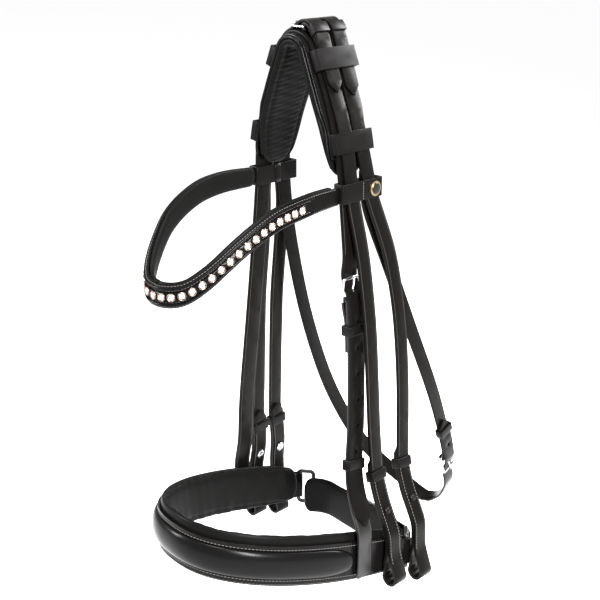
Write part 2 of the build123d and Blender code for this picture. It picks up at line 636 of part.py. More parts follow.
def wave(y0, y1, zs, hs, extra=0.0, steps=14, x0=-130, x1=130):
    """Side outline of a band whose centre and half height follow y, drawn across X."""
    ys = [y0 + (y1 - y0) * i / steps for i in range(steps + 1)]
    top = [Vector(x0, y, smooth(zs, y) + smooth(hs, y) + extra) for y in ys]
    low = [Vector(x0, y, smooth(zs, y) - smooth(hs, y) - extra) for y in ys]
    w = Wire([Edge.make_spline(top), Edge.make_spline(low), Edge.make_line(top[0], low[0]),
              Edge.make_line(top[-1], low[-1])])
    return extrude(Face(w), x1 - x0, Vector(1, 0, 0))


def brow_cut(solid, hs, extra=0.0):
    """Trim a browband layer: each side of the face has its own drop."""
    near = solid & wave(-185, 0, BROW_Z[1], hs, extra, 22, 0, 130)
    return one(near + (solid & wave(-185, 0, BROW_Z[-1], hs, extra, 22, -130, 0)))


brow_band, brow_len, brow_full, brow_s = brow_plan(0)
save("browband_outer", brow_cut(plan_solid([brow_band], BROW_T, -200, -60), BROW_H))
pad_line = brow_plan(-(BROW_T / 2 + 0.1 + BROW_PAD_T / 2), -26.0)[0]
save("browband_lining", brow_cut(plan_solid([pad_line], BROW_PAD_T, -200, -60), BROW_H, 1.2))
strip_half = CRYSTAL_PITCH * (CRYSTALS - 1) / 2 + 5.0
strip = [walk(brow_full, brow_s, brow_len / 2 + strip_half * (i / 20 - 1), BROW_T / 2 + 0.55)
         for i in range(41)]
channel = brow_cut(plan_solid([strip], 1.0, -200, -60), [(-185, 3.8), (0, 3.8)])
cups, stones = [channel], []
for k in range(CRYSTALS):
    s_at = brow_len / 2 + (k - (CRYSTALS - 1) / 2) * CRYSTAL_PITCH
    p0 = walk(brow_full, brow_s, s_at, 0.0)
    p1 = walk(brow_full, brow_s, s_at, 10.0)
    n = Vector(p1[0] - p0[0], p1[1] - p0[1], 0).normalized()
    c = Vector(p0[0], p0[1], smooth(BROW_Z[1 if p0[0] >= 0 else -1], p0[1])) + n * (BROW_T / 2 + 1.2)
    cup = Solid.make_cylinder(3.3, 1.3, Plane(c, z_dir=n))
    cups.append(cup - Solid.make_cylinder(2.85, 2.2, Plane(c + n * 0.3, z_dir=n)))
    stones.append(Solid.make_cylinder(2.8, 1.2, Plane(c + n * 0.32, z_dir=n))
                  + Solid.make_cone(2.8, 1.5, 0.9, Plane(c + n * 1.52, z_dir=n)))
save("crystal_cups", Compound(children=[one(q) for q in cups]))
save("crystals", Compound(children=[one(q) for q in stones]))

for side, word in ((1, "near"), (-1, "off")):
    z0 = -140
    with BuildSketch(Plane.XY.offset(z0)) as sk:
        with Locations((side * 50.2, 2.7)):
            RectangleRounded(11.0, 50.4, 2.0)
        with Locations((side * 50.2, -9.4)):
            RectangleRounded(8.0, 22.8, 1.0, mode=Mode.SUBTRACT)
        with Locations((side * 50.2, 15.0)):
            RectangleRounded(8.0, 23.2, 1.0, mode=Mode.SUBTRACT)
    loop = extrude(sk.sketch, 90) & (Pos(0, 0, -96) * Box(200, 100, 16.4))
    save(f"browband_loop_{word}", one(loop))
badge = Solid.make_cylinder(6.4, 1.0, Plane(Vector(55.72, 17.5, -96.5), z_dir=(1, 0, 0)))
badge += Solid.make_cylinder(5.2, 0.5, Plane(Vector(56.72, 17.5, -96.5), z_dir=(1, 0, 0)))
save("loop_badge", one(badge))

# ------------------------------------------------------------ throatlash
THROAT_T = 2.0
THROAT_LOCAL_Y = {1: [(20, 9.0), (0, 0), (-10, -4.6), (-30, -9), (-86, -10), (-160, -12), (-241, -12),
                      (-300, -13), (-345, -14), (-440, -11)],
                  -1: [(20, 9.0), (0, 0), (-10, -4.6), (-43, -15), (-86, -24), (-160, -33),
                       (-241, -36), (-300, -33), (-345, -27), (-400, -15), (-440, -11)]}
THROAT_HALF = [(14, 46.95), (0, 48.05), (-16, 48.5), (-70, 51), (-170, 57), (-250, 59), (-325, 54),
               (-368, 44), (-395, 29.5)]
THROAT_LOW = [(19, -406), (9.5, -414.5), (0, -418)]
THROAT_HEEL_Z, THROAT_TOE_Z = -328.0, -347.0


def throat_x(z):
    return smooth(THROAT_HALF, z)


r_t = FRAME_R + 0.15 + THROAT_T / 2
ty = smooth(THROAT_LOCAL_Y[1], -337)
t_heel = (throat_x(THROAT_HEEL_Z) - r_t, ty, THROAT_HEEL_Z)
t_toe = (throat_x(THROAT_TOE_Z) + 0.3, ty, THROAT_TOE_Z)
t_rest = (t_toe[0] + FRAME_R + PRONG_R + 0.05, ty, THROAT_TOE_Z)


throat_cut = buckle("throat_buckle", t_heel, t_toe, (1, 0, 0), THROAT_W + 4.0, FRAME_R, PRONG_R,
                    t_rest, (0, -5, -10))
zs = [6 - 12.0 * i for i in range(29)]
near_run = [(throat_x(z), z) for z in zs if z > THROAT_HEEL_Z + 5]
near_run += [(throat_x(THROAT_HEEL_Z), THROAT_HEEL_Z)]
path = [near_run, ("arc", (t_heel[0], THROAT_HEEL_Z), r_t, 0, -235)]
s = front_solid(path, THROAT_T, -80, 60)
s = s & side_ribbon(THROAT_LOCAL_Y[1], THROAT_W, -340, 5, 20, 120)
save("throatlash_near", one(s - throat_cut))
T_LIFT = [(-418, 0), (-372, 0), (-362, -0.9), (-352, -2.4), (-347, -2.6), (-341, -1.3), (-333, 1.9),
          (-328, 2.5), (-320, 2.55), (-270, 2.55)]
down = [(-throat_x(z), z) for z in [6 - 14.0 * i for i in range(29)]] + [(-x, z) for x, z in THROAT_LOW]
up = [(x, z) for x, z in reversed(THROAT_LOW[:2])]
up += [(throat_x(z) + smooth(T_LIFT, z) * 1.03, z)
       for z in (-394, -384, -374, -367, -361, -356, -351, -347, -343, -339, -335, -331, -326, -318,
                 -308, -298, -288, -277)]
s = front_solid([down + up], THROAT_T, -80, 60)
s = one((s & side_ribbon(THROAT_LOCAL_Y[-1], THROAT_W, -440, 5, -120, 0))
        + (s & side_ribbon(THROAT_LOCAL_Y[1], THROAT_W, -440, -277, 0, 120, top_tip=8)))
for z in (-297, -311):
    y = smooth(THROAT_LOCAL_Y[1], z)
    s -= rod((throat_x(z) + 1.3, y, z), (throat_x(z) + 8, y, z), 1.9)
save("throatlash_off", one(s - throat_cut))
loop_keeper("throat_keeper", -291, lambda z: throat_x(z) + 1.3, lambda z: smooth(THROAT_LOCAL_Y[1], z), 1,
            THROAT_W + 0.8, 2 * THROAT_T + 0.35 + 0.8, 9)

# ------------------------------------------------------------ noseband
NOSE_A, NOSE_B, NOSE_N = 83.8, 156.0, 2.4
NOSE_TH = 2.4
NOSE_PAD_T = 7.0
BOLSTER_T = 5.0
RING_R = 2.0
RING_BAR = (80.5, 44.0)
RING_BAR2 = (68.7, 54.4)
NOSE_Z = [(-180, -392 + 40 * TILT), (120, -392 - 260 * TILT)]
NOSE_H = [(-180, 19), (-40, 19), (10, 17), (45, 12.5), (120, 12.5)]
PAD_H = [(-180, 23.5), (-40, 23.5), (24, 21)]
PAD_Z = [(y, z + 3.0) for y, z in NOSE_Z]


def nose_plan(off, y_end, steps=15):
    """Near half of the noseband from above, from y_end forward to the front centre, and mirrored."""
    n = max(2, int(y_end / 8))
    pts = [(NOSE_A, y_end * (1 - i / n)) for i in range(n)] if y_end > 0 else []
    for i in range(steps + 1):
        t = math.pi / 2 * i / steps
        t = max(t, 0.02)
        pts.append((NOSE_A * max(math.cos(t), 0) ** (2 / NOSE_N), -NOSE_B * math.sin(t) ** (2 / NOSE_N)))
    full = pts + [(-x, y) for x, y in reversed(pts[:-1])]
    length = [0.0]
    for p, q in zip(full, full[1:]):
        length.append(length[-1] + math.hypot(q[0] - p[0], q[1] - p[1]))
    return full, length, off


def nose_line(off, y_end, count=44, s0=0.0):
    full, length, _ = nose_plan(off, y_end)
    total = length[-1]
    return [walk(full, length, s0 + (total - 2 * s0) * i / count, off) for i in range(count + 1)]


r_eye = RING_R + 0.15 + NOSE_TH / 2
body = nose_line(0, RING_BAR[1])
body[0], body[-1] = (NOSE_A + 0.05, RING_BAR[1]), (-NOSE_A - 0.05, RING_BAR[1])
off_c = (-RING_BAR[0], RING_BAR[1])
near_in = [(RING_BAR[0] - r_eye, RING_BAR[1]), (RING_BAR[0] - r_eye + 0.4, 38), (RING_BAR[0] - 2.8, 32),
           (RING_BAR[0] - 1.6, 26)]
far_in = [(-x, y) for x, y in near_in]
path = [list(reversed(near_in)), ("arc", RING_BAR, r_eye, 180, 0), body,
        ("arc", off_c, r_eye, 180, 0), far_in]
tilted = wave(-190, 75, NOSE_Z, NOSE_H)
save("noseband_outer", one(plan_solid(path, NOSE_TH, -480, -340) & tilted))
pad = nose_line(-(NOSE_TH / 2 + 0.1 + NOSE_PAD_T / 2), 20.0)
save("noseband_lining", one(plan_solid([pad], NOSE_PAD_T, -480, -330) & wave(-190, 24, PAD_Z, PAD_H)))
bol = nose_line(NOSE_TH / 2 + 0.3 + BOLSTER_T / 2, 0.0, s0=62.0)
core = plan_solid([bol], BOLSTER_T, -480, -330) & wave(-190, 24, NOSE_Z, [(-190, 12.5), (24, 12.5)])
slim = nose_line(NOSE_TH / 2 + 0.3 + BOLSTER_T / 4, 0.0, s0=57.0)
core = core + (plan_solid([slim], BOLSTER_T / 2, -480, -330)
               & wave(-190, 24, NOSE_Z, [(-190, 14.5), (24, 14.5)]))
save("noseband_bolster", one(core))

# crank strap: off ring, behind the chin, through the near ring and back to its buckle
CRANK_T = 2.4
r_cr = RING_R + 0.15 + CRANK_T / 2
base_ang = math.degrees(math.atan2(RING_BAR[1] - RING_BAR2[1], RING_BAR[0] - RING_BAR2[0])) - 90
dir_x, dir_y = math.cos(math.radians(base_ang)), math.sin(math.radians(base_ang))
n_in = (RING_BAR2[0] + dir_x * r_cr, RING_BAR2[1] + dir_y * r_cr)
n_out = (RING_BAR2[0] - dir_x * r_cr, RING_BAR2[1] - dir_y * r_cr)
rear = [n_in, (58, 58.4), (50, 61.2), (40, 62.4), (26, 62.5), (12, 62.5), (0, 62.5)]
inner_run = [(-x, y) for x, y in rear] + [(x, y) for x, y in reversed(rear[:-1])]
CR_RUN = [(65.5, 61.6), (58, 65.3), (48, 66.3), (36, 66.0), (24, 65.5)]
CR_LIFT = [(24, 65.5), (18, 65.4), (14, 65.5), (9, 67.0), (3, 70.0), (-4, 71.8), (-10, 70.6),
           (-16, 68.3), (-24, 67.6), (-38, 67.6)]
path = [[(-n_out[0] + 4.5, n_out[1] + 4.5), (-n_out[0], n_out[1])],
        ("arc", (-RING_BAR2[0], RING_BAR2[1]), r_cr, -base_ang, 180 - base_ang),
        inner_run,
        ("arc", RING_BAR2, r_cr, base_ang, base_ang + 180), [n_out] + CR_RUN, CR_LIFT]
z_crank = smooth(NOSE_Z, 60)
CRANK_H = 8.5
tab_y, tab_t, tab_r = 64.9, 1.8, 0.9 + 0.15 + FRAME_R
c_heel = (-4.0, tab_y + tab_r, z_crank)
c_toe = (14.0, 65.5 + 1.2 + 0.15 + FRAME_R, z_crank)
c_rest = (14.0, c_toe[1] + FRAME_R + PRONG_R + 0.05, z_crank)
crank_cut = buckle("crank_buckle", c_heel, c_toe, (0, 1, 0), 2 * CRANK_H + 4.2, FRAME_R, PRONG_R, c_rest,
                   (0, -5, -10))
s = plan_solid(path, CRANK_T, z_crank - CRANK_H, z_crank + CRANK_H)
save("crank_strap", one(s - crank_cut))
tab = plan_solid([[(-36, tab_y), (-24, tab_y), (-4, tab_y)],
                  ("arc", (c_heel[0], c_heel[1]), tab_r, -90, 140)],
                 tab_t, z_crank - CRANK_H + 0.3, z_crank + CRANK_H - 0.3)
save("crank_buckle_tab", one(tab - crank_cut))

for side, word in ((1, "near"), (-1, "off")):
    b1 = Vector(side * RING_BAR[0], RING_BAR[1], z_crank + 1.8)
    b2 = Vector(side * RING_BAR2[0], RING_BAR2[1], z_crank + 1.8)
    mid = (b1 + b2) * 0.5
    along = (b2 - b1).normalized()
    plane = Plane(mid, x_dir=along, z_dir=along.cross(Vector(0, 0, 1)))
    save(f"crank_ring_{word}", frame_ring(plane, (b2 - b1).length, 34.0, RING_R, corner=3.5))

keeper = Pos(-27, 65.0, z_crank) * (Box(8, 8.2 + 3, 2 * CRANK_H + 0.8 + 3) - Box(9, 8.2, 2 * CRANK_H + 0.8))
save("crank_keeper", keeper)

chin = plan_solid([("arc", (-38, 29), 26.0, 128, 90), [(-38, 55), (0, 55), (38, 55)],
                   ("arc", (38, 29), 26.0, 90, 52)], 6.6, -500, -380)
chin = chin & (Pos(0, 60, z_crank) * Box(300, 80, 38))
loops = []
for x, y0, y1 in ((-46, 57.8, 65.4), (38, 58.35, 68.9)):
    loop = Pos(x, (y0 + y1) / 2, z_crank) * Box(7, y1 - y0, 2 * CRANK_H + 3.8)
    slot = Pos(x, (y0 + y1) / 2 + 0.1, z_crank) * Box(9, y1 - y0 - 2.7, 2 * CRANK_H + 0.8)
    loops.append(loop - slot)
save("chin_pad", Compound(children=[one(chin)] + [one(q) for q in loops]))
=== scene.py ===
import math

import bpy
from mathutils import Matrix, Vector
from mathutils.bvhtree import BVHTree


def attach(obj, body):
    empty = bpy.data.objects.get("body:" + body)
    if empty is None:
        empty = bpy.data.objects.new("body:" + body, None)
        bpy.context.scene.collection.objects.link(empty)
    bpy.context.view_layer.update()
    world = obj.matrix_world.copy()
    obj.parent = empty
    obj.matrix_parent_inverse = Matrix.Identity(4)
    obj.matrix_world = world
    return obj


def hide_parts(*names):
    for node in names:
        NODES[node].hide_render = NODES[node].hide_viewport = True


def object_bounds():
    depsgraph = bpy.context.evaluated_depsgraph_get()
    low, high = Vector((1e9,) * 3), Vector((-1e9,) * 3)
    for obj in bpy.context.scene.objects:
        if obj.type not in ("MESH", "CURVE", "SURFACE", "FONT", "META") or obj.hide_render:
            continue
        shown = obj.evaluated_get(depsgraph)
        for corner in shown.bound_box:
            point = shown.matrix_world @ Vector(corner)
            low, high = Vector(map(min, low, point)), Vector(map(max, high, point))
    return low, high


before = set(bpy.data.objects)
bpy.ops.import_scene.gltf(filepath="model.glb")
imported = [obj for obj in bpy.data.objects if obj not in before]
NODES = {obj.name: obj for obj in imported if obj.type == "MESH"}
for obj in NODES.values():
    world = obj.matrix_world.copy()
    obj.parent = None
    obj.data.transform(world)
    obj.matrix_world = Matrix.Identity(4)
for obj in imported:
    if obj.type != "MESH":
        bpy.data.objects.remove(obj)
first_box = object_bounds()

MM = 0.001
HEAD = "headpiece"
DROP = 12.0          # the CAD source draws everything this much higher than the frame, in mm
UP, REARWARD = Vector((0, 0, 1)), Vector((0, 1, 0))
SIDES = ((1, "near"), (-1, "off"))


# ------------------------------------------------------------------ small tools
def smooth(points, t):
    """Cubic through the (t, value) points, level beyond both ends."""
    pts = sorted(points)
    if t <= pts[0][0]:
        return pts[0][1]
    if t >= pts[-1][0]:
        return pts[-1][1]
    slopes = []
    for i in range(len(pts)):
        a, b = pts[max(i - 1, 0)], pts[min(i + 1, len(pts) - 1)]
        slopes.append((b[1] - a[1]) / (b[0] - a[0]))
    for i in range(len(pts) - 1):
        (t0, v0), (t1, v1) = pts[i], pts[i + 1]
        if t <= t1:
            h = t1 - t0
            u = (t - t0) / h
            return ((2 * u**3 - 3 * u**2 + 1) * v0 + (u**3 - 2 * u**2 + u) * h * slopes[i]
                    + (3 * u**2 - 2 * u**3) * v1 + (u**3 - u**2) * h * slopes[i + 1])


def mesh_object(name, verts, faces, material, body=HEAD, slot=None, flat=False):
    """A mesh piece, given in mm in the frame, that rides on a CAD body."""
    me = bpy.data.meshes.new(name)
    me.from_pydata([tuple(v[i] * MM for i in range(3)) for v in verts], [], faces)
    me.validate()
    me.materials.append(material)
    for p in me.polygons:
        p.use_smooth = not flat
    ob = bpy.data.objects.new(name, me)
    bpy.context.scene.collection.objects.link(ob)
    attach(ob, body)
    return ob


def tube(rings, closed=False):
    """Vertices and faces of a skin over closed rings of equal length."""
    n, k = len(rings[0]), len(rings)
    verts = [p for r in rings for p in r]
    faces = []
    for i in range(k if closed else k - 1):
        a, b = i * n, ((i + 1) % k) * n
        for j in range(n):
            q = (j + 1) % n
            faces.append((a + j, a + q, b + q, b + j))
    if not closed:
        faces.append(tuple(range(n - 1, -1, -1)))
        faces.append(tuple((k - 1) * n + j for j in range(n)))
    return verts, faces


def oval(centre, across, out, half_w, half_t, power=3.0, count=28, swell=None):
    """Ring round centre: across and out are its unit directions; power 2 is an ellipse."""
    ring = []
    for j in range(count):
        a = 2 * math.pi * j / count
        c, s = math.cos(a), math.sin(a)
        u = math.copysign(abs(c) ** (2 / power), c) * half_w
        v = math.copysign(abs(s) ** (2 / power), s) * half_t
        if swell:
            v += swell(u, v)
        ring.append(centre + across * u + out * v)
    return ring


def rounded_ends(count, span, radius):
    """Scale of a pad's width at each of count stations, rounded off over radius at both ends."""
    out = []
    for i in range(count):
        s = span * i / (count - 1)
        e = min(s, span - s)
        out.append(1.0 if e >= radius else max(0.12, math.sqrt(1 - (1 - e / radius) ** 2)))
    return out


def circle(centre, across, up, radius, sides, shift=0.0):
    """Ring of points round centre, in the plane of the unit directions across and up."""
    angles = [2 * math.pi * (j + shift) / sides for j in range(sides)]
    return [centre + (across * math.cos(a) + up * math.sin(a)) * radius for a in angles]


def rod_mesh(points, radius, sides):
    """Round cord along points."""
    rings = []
    for i, p in enumerate(points):
        t = (points[min(i + 1, len(points) - 1)] - points[max(i - 1, 0)]).normalized()
        ref = REARWARD if abs(t.y) < 0.9 else Vector((1, 0, 0))
        a = t.cross(ref).normalized()
        rings.append(circle(p, a, t.cross(a).normalized(), radius, sides))
    return tube(rings)


def add(total, part):
    """Appends one (verts, faces) to another."""
    base = len(total[0])
    total[0].extend(part[0])
    total[1].extend(tuple(i + base for i in f) for f in part[1])


# a stitch from end to end: place in shares of its length, and share of its radius there
STITCH = [(-0.5, 0.35), (-0.38, 0.85), (0.0, 1.0), (0.38, 0.85), (0.5, 0.35)]
STITCH_LIFT = 0.12


def stitches(points, normals, pitch, length, radius):
    """Short rounded threads, evenly spaced along a row."""
    total = ([], [])
    run = 0.0
    nxt = pitch / 2
    for p, q, n in zip(points, points[1:], normals):
        step = (q - p).length
        while step > 0 and nxt <= run + step:
            t = (q - p).normalized()
            c = p + (q - p) * ((nxt - run) / step) + n * STITCH_LIFT
            b = n.cross(t).normalized()
            add(total, tube([circle(c + t * (u * length), b, n, radius * w, 6) for u, w in STITCH]))
            nxt += pitch
        run += step
    return total


TREES = {}


def hit(node, origin, direction):
    """Where a ray in mm meets a CAD node: the point and its normal, or None."""
    if node not in TREES:
        me = NODES[node].data
        TREES[node] = BVHTree.FromPolygons([v.co.copy() for v in me.vertices],
                                           [tuple(p.vertices) for p in me.polygons])
    loc, normal, _, _ = TREES[node].ray_cast(Vector(origin) * MM, Vector(direction).normalized())
    if loc is None:
        return None
    if normal.dot(Vector(direction)) > 0:
        normal = -normal
    return loc / MM, normal


# ------------------------------------------------------------------ materials
def material(name, colour, rough, metal=0.0, grain=None, grain_depth=0.0, transmission=0.0, ior=1.5,
             uneven=0.0, specular=0.5):
    """A surface look: grain is its cells per metre and grain_depth their height in metres;
    uneven is how far the roughness wanders either way, in patches of a centimetre or two."""
    m = bpy.data.materials.new(name)
    m.use_nodes = True
    nt = m.node_tree
    b = nt.nodes["Principled BSDF"]
    b.inputs["Base Color"].default_value = (*colour, 1)
    b.inputs["Roughness"].default_value = rough
    b.inputs["Metallic"].default_value = metal
    b.inputs["IOR"].default_value = ior
    b.inputs["Specular IOR Level"].default_value = specular
    b.inputs["Transmission Weight"].default_value = transmission
    if grain:
        tc = nt.nodes.new("ShaderNodeTexCoord")
        fine = nt.nodes.new("ShaderNodeTexVoronoi")
        fine.inputs["Scale"].default_value = grain
        soft = nt.nodes.new("ShaderNodeTexNoise")
        soft.inputs["Scale"].default_value = grain * 0.35
        soft.inputs["Detail"].default_value = 5.0
        mix = nt.nodes.new("ShaderNodeMath")
        mix.operation = "MULTIPLY_ADD"
        mix.inputs[1].default_value = 0.6
        bump = nt.nodes.new("ShaderNodeBump")
        bump.inputs["Strength"].default_value = 0.5
        bump.inputs["Distance"].default_value = grain_depth
        nt.links.new(tc.outputs["Object"], fine.inputs["Vector"])
        nt.links.new(tc.outputs["Object"], soft.inputs["Vector"])
        nt.links.new(fine.outputs["Distance"], mix.inputs[0])
        nt.links.new(soft.outputs["Fac"], mix.inputs[2])
        nt.links.new(mix.outputs[0], bump.inputs["Height"])
        nt.links.new(bump.outputs["Normal"], b.inputs["Normal"])
        if uneven:
            big = nt.nodes.new("ShaderNodeTexNoise")
            big.inputs["Scale"].default_value = 60.0
            big.inputs["Detail"].default_value = 3.0
            span = nt.nodes.new("ShaderNodeMapRange")
            span.inputs["To Min"].default_value = rough - uneven
            span.inputs["To Max"].default_value = rough + uneven
            nt.links.new(tc.outputs["Object"], big.inputs["Vector"])
            nt.links.new(big.outputs["Fac"], span.inputs["Value"])
            nt.links.new(span.outputs["Result"], b.inputs["Roughness"])
    return m


SMOOTH = material("smooth_leather", (0.0019, 0.00175, 0.0017), 0.25, grain=900, grain_depth=0.00005,
                  specular=0.062, uneven=0.05)
SOFT = material("soft_leather", (0.0021, 0.0020, 0.0019), 0.42, grain=700, grain_depth=0.00010,
                specular=0.036, uneven=0.07)
STRAP = material("strap_leather_look", (0.0022, 0.0019, 0.0017), 0.31, grain=1100, grain_depth=0.00005,
                 specular=0.046, uneven=0.07)
# the strap leather at about twice its lightness, with a stronger specular: painted sheen for the near
# noseband hanger, which faces the key light
STRAP_PAINTED_SHEEN = material("strap_painted_sheen", (0.0045, 0.0042, 0.0041), 0.34, grain=1100, grain_depth=0.00004,
                 specular=0.20, uneven=0.06)
KEEPER = material("keeper_leather_look", (0.0022, 0.0019, 0.0018), 0.31, grain=1100,
                  grain_depth=0.00004, specular=0.062, uneven=0.05)
# the pressed lines are drawn about ten times lighter than the leather: a painted highlight along the
# creases
CREASE_PAINTED_HIGHLIGHT = material("crease_painted_highlight", (0.020, 0.017, 0.015), 0.5, specular=0.2)
THREAD = material("thread", (0.070, 0.066, 0.062), 0.6, specular=0.2)
STEEL = material("polished_steel", (0.46, 0.46, 0.47), 0.18, metal=1.0)
DARK = material("black_coated_steel", (0.006, 0.006, 0.006), 0.3, specular=0.3)
CUP = material("pale_gold_setting", (0.24, 0.18, 0.15), 0.3, metal=1.0)
GOLD = material("gold_ring", (0.50, 0.40, 0.22), 0.25, metal=1.0)
# three tones of one crystal: a painted lit tone, a pink painted half shade and a painted shade, standing
# in for the light the facets throw back
STONE = material("crystal_painted_lit_facet", (0.60, 0.545, 0.55), 0.04, transmission=0.2, ior=1.6)
STONE_PAINTED_HALF_SHADE = material("crystal_pink_painted_half_shade", (0.30, 0.235, 0.24), 0.05, transmission=0.2, ior=1.75)
STONE_PAINTED_SHADE = material("crystal_painted_shade_facet", (0.10, 0.075, 0.075), 0.05, transmission=0.2, ior=1.75)
FOIL = material("crystal_foil", (0.5, 0.42, 0.42), 0.12, metal=1.0)
INK = material("badge_centre", (0.004, 0.004, 0.0045), 0.2, specular=0.4)


def dress(node, mat, bevel=0.0, segments=2):
    """Gives a CAD node its material and, where bevel is a width in mm, softened edges."""
    ob = NODES[node]
    ob.data.materials.clear()
    ob.data.materials.append(mat)
    for p in ob.data.polygons:
        p.use_smooth = True
        p.material_index = 0
    weld = ob.modifiers.new("weld", "WELD")
    weld.merge_threshold = 2e-6
    if bevel:
        edge = ob.modifiers.new("edge", "BEVEL")
        edge.width = bevel * MM
        edge.segments = segments
        edge.limit_method = "ANGLE"
        edge.angle_limit = math.radians(50)
    ob.data.set_sharp_from_angle(angle=math.radians(38))


def paint(node, mat, chosen):
    """Gives the chosen faces of a node another material."""
    me = NODES[node].data
    me.materials.append(mat)
    for i in chosen:
        me.polygons[i].material_index = len(me.materials) - 1


LONG_PIECE = 0.03            # metres: the strip is longer than this, and a cup far shorter
HEAD_FROM = 0.0004           # metres past a stud's middle, where its outer head begins


def channel_faces(me):
    """Faces of the one long piece among many small ones: the leather strip that the cups sit on."""
    key, parent = {}, list(range(len(me.vertices)))

    def root(i):
        while parent[i] != i:
            parent[i] = parent[parent[i]]
            i = parent[i]
        return i
    for v in me.vertices:
        k = tuple(round(c, 6) for c in v.co)
        parent[v.index] = root(key.setdefault(k, v.index))
    for p in me.polygons:
        for v in p.vertices:
            parent[root(v)] = root(p.vertices[0])
    span = {}
    for v in me.vertices:
        r = root(v.index)
        low, high = span.get(r, (v.co.x, v.co.x))
        span[r] = (min(low, v.co.x), max(high, v.co.x))
    long_ones = {r for r, (low, high) in span.items() if high - low > LONG_PIECE}
    return [p.index for p in me.polygons if root(p.vertices[0]) in long_ones]


def outer_half(node, side):
    """Faces of a node on the side away from the horse."""
    me = NODES[node].data
    mid = sum(v.co.x for v in me.vertices) / len(me.vertices)
    return [p.index for p in me.polygons if (p.center.x - mid) * side > HEAD_FROM]


for n in NODES:
    if n.startswith("crank_ring"):
        dress(n, DARK)
    elif "frame" in n or "prong" in n or n.startswith("stud"):
        dress(n, STEEL)
    elif "keeper" in n or n.startswith("browband_loop"):
        dress(n, KEEPER, 0.6, 3)
    elif n in ("crown_outer", "browband_outer", "noseband_outer"):
        dress(n, SMOOTH, 0.55)
    elif n == "crystal_cups":
        dress(n, CUP)
        paint(n, SMOOTH, channel_faces(NODES[n].data))
    # the near noseband hanger takes the lighter strap leather: painted sheen
    elif n == "noseband_hanger":
        dress(n, STRAP_PAINTED_SHEEN, 0.45)
    elif n.startswith(("cheek", "noseband_headstrap", "throatlash", "crank")):
        dress(n, STRAP, 0.45)

# the studs' outer heads are covered with leather; their hooks show on the inside only
for which in ("front", "rear"):
    for side, word in SIDES:
        node = f"stud_{which}_{word}"
        paint(node, KEEPER, outer_half(node, side))

# ------------------------------------------------------------------ crown lining: padded, wrinkled
ARCH_R, ARCH, LINING_T = 9.0, 65.0, 6.0      # arch radius, its half angle in degrees, thickness
CROWN_Y = -2.0                               # middle of the crown from front to rear
STEP = 0.9                                   # between the stations of its lining
LEG = [(-150, 43), (-94, 39.5), (-48, 32), (-20, 22.3), (15.8, 8.16)]    # height, x of inner face


def crown_line(d, z_end, step):
    """Stations over the poll from one lower end to the other, d outside the lining's inner face:
    point, outward direction and height in the CAD source."""
    leg = []
    z = z_end
    while z < 15.0:
        x = smooth(LEG, z)
        dx = (smooth(LEG, z + 1) - smooth(LEG, z - 1)) / 2
        n = math.hypot(1, dx)
        leg.append((x + d / n, z - dx / n * d, 1 / n, -dx / n))
        z += step
    arch = []
    steps = int(2 * math.radians(ARCH) * (ARCH_R + d) / step)
    for i in range(steps + 1):
        a = math.radians(ARCH - 2 * ARCH * i / steps)
        r = ARCH_R + d
        arch.append((r * math.sin(a), DROP + r * math.cos(a), math.sin(a), math.cos(a)))
    line = leg + arch + [(-x, z, -nx, nz) for x, z, nx, nz in reversed(leg)]
    return [(Vector((x, 0, z - DROP)), Vector((nx, 0, nz)), z) for x, z, nx, nz in line]


WIDTH = [(-84, 16.0), (-62, 23.0), (-30, 26.5), (30, 26.5)]              # height, half width
PIPING = [(-84, 17.5), (-68, 22.6), (-44, 22.6), (-30, 25), (30, 25)]    # height, half spacing


def wrinkle(s, side_y):
    """Fine creases across the lining, with a slowly changing spacing."""
    a = math.sin(s * 1.55 + 0.25 * side_y + 0.9 * math.sin(s * 0.11))
    b = math.sin(s * 0.83 - 0.18 * side_y + 1.7)
    return 0.16 * a + 0.12 * b


line = crown_line(LINING_T / 2 - 0.1, -85.0, STEP)
scale = rounded_ends(len(line), STEP * len(line), 12.0)
rings = []
for i, ((p, out, z), k) in enumerate(zip(line, scale)):
    half = smooth(WIDTH, z) * (0.35 + 0.65 * k)
    centre = p + REARWARD * CROWN_Y
    s = STEP * i
    depth = LINING_T / 2 * (0.45 + 0.55 * k)

    def swell(u, v, s=s, half=half):
        """On the horse's side: fine creases, a sewn groove near each edge, and a slight crown."""
        edge = max(0.0, 1 - abs(u) / half)
        if v < 0:
            groove = math.exp(-((abs(u) - 0.74 * half) / 1.1) ** 2)
            return wrinkle(s, u) * min(1.0, 3 * edge) + groove - 0.5 * math.cos(u / half * math.pi / 2)
        return 0.0
    rings.append(oval(centre, REARWARD, out, half, depth, 3.4, 56, swell))
crown_pad = mesh_object("crown_pad", *tube(rings), SOFT, HEAD, "soft_lining")
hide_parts("crown_lining")

# rolled piping along both edges of the crown, between its leather and its lining
total = ([], [])
for edge in (-1, 1):
    pts = []
    for p, out, z in crown_line(LINING_T + 0.1, -76.0, 2.0):
        pts.append(p + REARWARD * (CROWN_Y + edge * (smooth(PIPING, z) + 0.5)))
    add(total, rod_mesh(pts, 1.25, 10))
mesh_object("crown_piping", *total, SMOOTH, HEAD, "padded_leather")


# ------------------------------------------------------------------ bands round the face
def super_curve(a, b, n, y0, y_end, tail, steps=160):
    """Half a band seen from above, near side first, with a straight tail back to y_end, mirrored."""
    pts = []
    if tail:
        pts = [(a, y_end + (y0 - y_end) * i / 12) for i in range(12)]
    t0 = 0.02 if tail else math.asin(((y0 - y_end) / b) ** (n / 2))
    for i in range(steps + 1):
        t = t0 + (math.pi / 2 - t0) * i / steps
        pts.append((a * max(math.cos(t), 0) ** (2 / n), y0 - b * math.sin(t) ** (2 / n)))
    full = pts + [(-x, y) for x, y in reversed(pts[:-1])]
    length = [0.0]
    for p, q in zip(full, full[1:]):
        length.append(length[-1] + math.hypot(q[0] - p[0], q[1] - p[1]))
    return full, length


